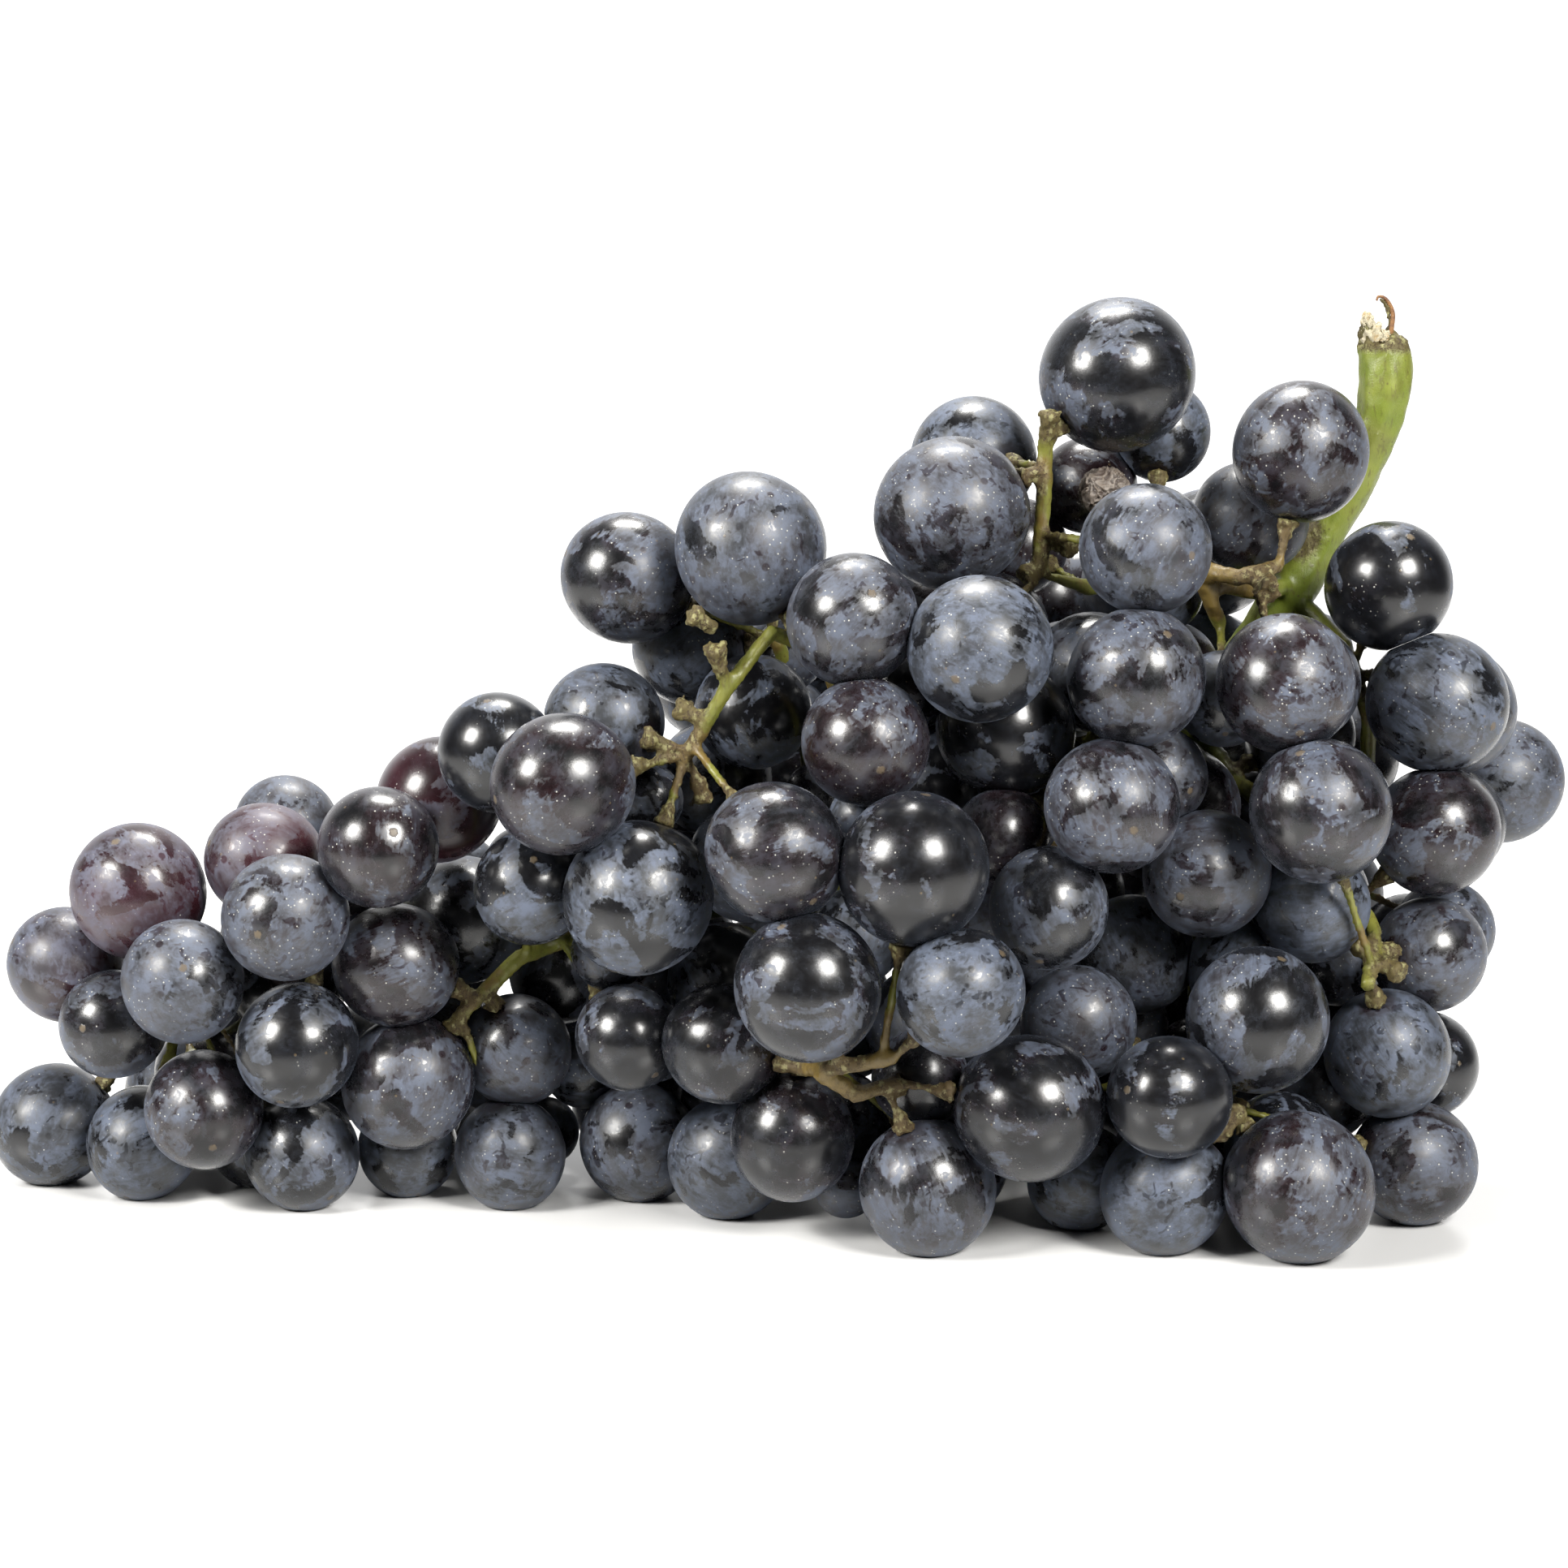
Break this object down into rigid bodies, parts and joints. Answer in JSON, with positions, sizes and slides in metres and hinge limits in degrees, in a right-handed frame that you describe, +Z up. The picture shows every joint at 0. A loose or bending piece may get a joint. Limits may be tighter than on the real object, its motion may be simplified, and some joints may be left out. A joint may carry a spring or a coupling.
{
  "type": "bunch of grapes",
  "caption": "Bunch of black table grapes lying on its side: round bloomed berries in clusters on a branched green stem with a torn-off stalk, one berry dried to a raisin.",
  "frame": {"origin": "on the surface that the bunch lies on, under the middle of its bounding box", "axes": "+X from the bunch's tip to its stalk end, +Z up, -Y the side with the best view"},
  "size_m": [0.2398, 0.108, 0.1341],
  "materials": {
    "grape_skin": "blue-black skin, satin, with a patchy pale blue-grey wax bloom",
    "red_grape_skin": "purple-red skin at the bunch's tip, satin, with a thin wax bloom",
    "raisin": "brown-grey shrivelled skin, matt",
    "stem": "yellow-green stem with brown warty cups, satin"
  },
  "bodies": {
    "root": {"berries_belly": "grape_skin", "berries_brow": "grape_skin", "berries_cheek": "grape_skin", "berries_chest": "grape_skin", "berries_collar": "grape_skin", "berries_crown": "grape_skin", "berries_far_1_1": "grape_skin", "berries_far_2_1": "grape_skin", "berries_far_3_1": "grape_skin", "berries_far_3_2": "grape_skin", "berries_far_4_1": "grape_skin", "berries_far_4_2": "grape_skin", "berries_far_5_1": "grape_skin", "berries_far_5_2": "grape_skin", "berries_flank": "grape_skin", "berries_foot": "grape_skin", "berries_heel": "grape_skin", "berries_hem": "grape_skin", "berries_hump": "grape_skin", "berries_keel": "grape_skin", "berries_neck": "grape_skin", "berries_ridge": "red_grape_skin", "berries_saddle": "grape_skin", "berries_shoulder": "grape_skin", "berries_tip": "red_grape_skin", "berries_toe": "grape_skin", "raisin": "raisin", "stem": "stem"}
  },
  "joints": []
}
